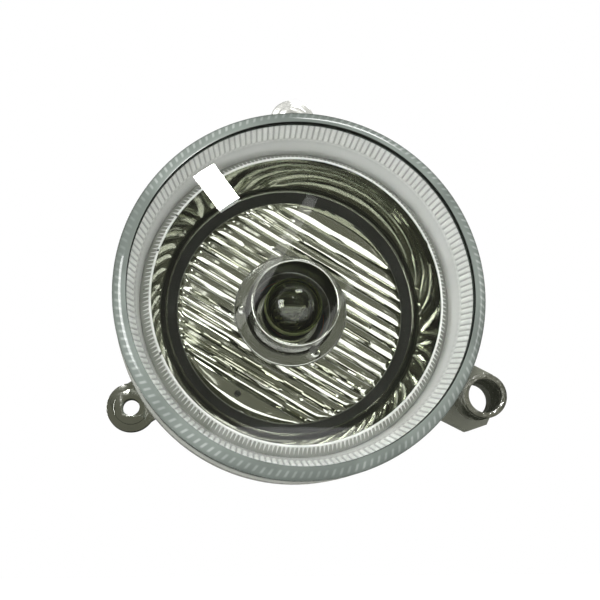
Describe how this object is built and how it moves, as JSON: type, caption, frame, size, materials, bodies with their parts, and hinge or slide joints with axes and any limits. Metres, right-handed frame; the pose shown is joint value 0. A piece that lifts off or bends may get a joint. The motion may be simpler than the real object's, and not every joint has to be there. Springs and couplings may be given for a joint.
{
  "type": "fog light",
  "caption": "Round automotive fog light with a clear domed lens, fluted metallised reflector housing, screw ears, adjuster boss and a twist-out plastic-base bulb.",
  "frame": {"origin": "on the lamp axis, in the plane of the rear mounting faces of the two ears and the adjuster plate", "axes": "the lens faces -Y, +Y points to the bulb connector, and +Z runs through the top ear"},
  "size_m": [0.1069, 0.0723, 0.1088],
  "materials": {
    "clear_lens": "clear polycarbonate with a faint grey-green tint",
    "frosted_ring": "satin silver-grey with fine flutes",
    "metallised": "vacuum-metallised moulding, dull grey-green where the metal is thin",
    "black_rubber": "matt black",
    "bright_steel": "bright pressed steel",
    "white_film": "matt porous film",
    "bulb_glass": "clear glass with an olive cast",
    "tungsten": "dull coiled wire",
    "nickel_wire": "drawn wire",
    "base_plastic": "black heat-resistant moulding",
    "seal_rubber": "red-brown silicone",
    "tinned_brass": "tin-plated"
  },
  "bodies": {
    "lamp": {"lens": "clear_lens", "bezel_ring": "frosted_ring", "reflector_housing": "metallised", "left_ear": "metallised", "top_ear": "metallised", "adjuster_boss": "metallised", "lens_seal": "black_rubber", "bulb_shield": "bright_steel", "shield_rivets": "bright_steel", "vent_membrane": "white_film", "vent_cap": "black_rubber"},
    "bulb": {"bulb_glass": "bulb_glass", "filament": "tungsten", "live_lead": "nickel_wire", "earth_lead": "nickel_wire", "lead_bridge": "bulb_glass", "glass_clip": "bright_steel", "bulb_cup": "bright_steel", "bulb_base": "base_plastic", "bulb_o_ring": "seal_rubber", "live_terminal": "tinned_brass", "earth_terminal": "tinned_brass"}
  },
  "joints": [
    {"name": "bulb_twist", "type": "hinge", "parent": "lamp", "child": "bulb", "pos_m": [0, 0.015, 0], "axis": [0, 1, 0], "range_deg": [0, 35]}
  ]
}
